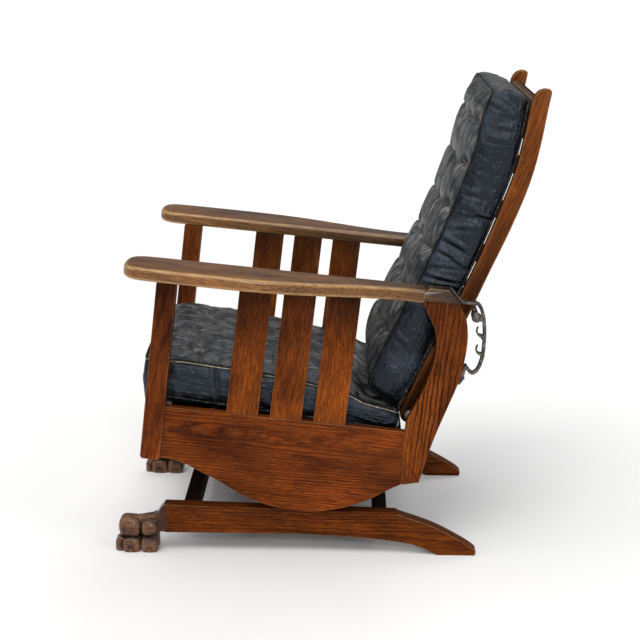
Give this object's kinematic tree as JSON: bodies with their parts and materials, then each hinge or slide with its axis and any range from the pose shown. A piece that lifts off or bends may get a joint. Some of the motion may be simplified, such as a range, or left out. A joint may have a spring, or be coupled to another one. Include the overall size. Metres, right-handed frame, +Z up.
{
  "type": "reclining platform rocking chair",
  "caption": "Oak rocking chair on a fixed base with carved paw feet, wide arms, a reclining back held by a bar in a ratchet, and tufted leather cushions",
  "frame": {"origin": "on the floor, in the middle of the box that holds the whole chair", "axes": "the chair faces -X, +Y is the sitter's right, +Z is up"},
  "size_m": [0.9756, 0.8282, 1.0736],
  "materials": {
    "oak": "reddish brown oak, old varnish, satin",
    "oak_inner": "dark oak, dull",
    "oak_arms": "worn lighter oak, polished by hands",
    "oak_feet": "carved oak, worn and grey",
    "leather": "blue-black leather, creased, worn pale on the ridges",
    "cast_iron": "dark cast iron, dull",
    "dark_steel": "darkened steel"
  },
  "bodies": {
    "base": {"base_rail_left": "oak", "base_rail_right": "oak", "paw_foot_left": "oak_feet", "paw_foot_right": "oak_feet", "base_cross_rail_front": "oak_inner", "base_cross_rail_rear": "oak_inner", "spring_lower_bracket_left": "cast_iron", "spring_lower_bracket_right": "cast_iron", "rocker_springs_left": "dark_steel", "rocker_springs_right": "dark_steel", "spring_lower_screws": "dark_steel"},
    "seat": {"side_panel_left": "oak", "side_panel_right": "oak", "front_post_left": "oak", "front_post_right": "oak", "rear_post_left": "oak", "rear_post_right": "oak", "arm_left": "oak_arms", "arm_right": "oak_arms", "arm_slats_left": "oak", "arm_slats_right": "oak", "seat_front_rail": "oak", "seat_rear_rail": "oak_inner", "seat_cleat_left": "oak_inner", "seat_cleat_right": "oak_inner", "seat_slat_1": "oak_inner", "seat_slat_2": "oak_inner", "seat_slat_3": "oak_inner", "seat_slat_4": "oak_inner", "seat_slat_5": "oak_inner", "seat_cushion": "leather", "ratchet_bracket_left": "cast_iron", "ratchet_bracket_right": "cast_iron", "bracket_screws": "dark_steel", "spring_upper_bracket_left": "cast_iron", "spring_upper_bracket_right": "cast_iron", "spring_upper_screws": "dark_steel", "pivot_pin_left": "dark_steel", "pivot_pin_right": "dark_steel", "pivot_spacer_left": "dark_steel", "pivot_spacer_right": "dark_steel"},
    "back": {"back_stile_left": "oak", "back_stile_right": "oak", "back_crest_rail": "oak_inner", "back_bottom_rail": "oak_inner", "back_slat_1": "oak_inner", "back_slat_2": "oak_inner", "back_slat_3": "oak_inner", "back_slat_4": "oak_inner", "back_slat_5": "oak_inner", "back_cushion": "leather"},
    "bar": {"support_bar": "dark_steel", "bar_finial_left": "dark_steel", "bar_finial_right": "dark_steel"}
  },
  "joints": [
    {"name": "seat_rock", "type": "hinge", "parent": "base", "child": "seat", "pos_m": [-0.03876, 0, 0.43567], "axis": [0, 1, 0], "range_deg": [-9, 9], "stiffness_Nm_per_rad": 300, "springref_deg": -8.35, "deforming": ["rocker_springs_left", "rocker_springs_right"]},
    {"name": "back_recline", "type": "hinge", "parent": "seat", "child": "back", "pos_m": [0.19105, 0, 0.33141], "axis": [0, 1, 0], "range_deg": [-6, 0]},
    {"name": "bar_lift", "type": "slide", "parent": "seat", "child": "bar", "axis": [0.4101, 0, 0.912], "range_m": [0, 0.008]}
  ]
}
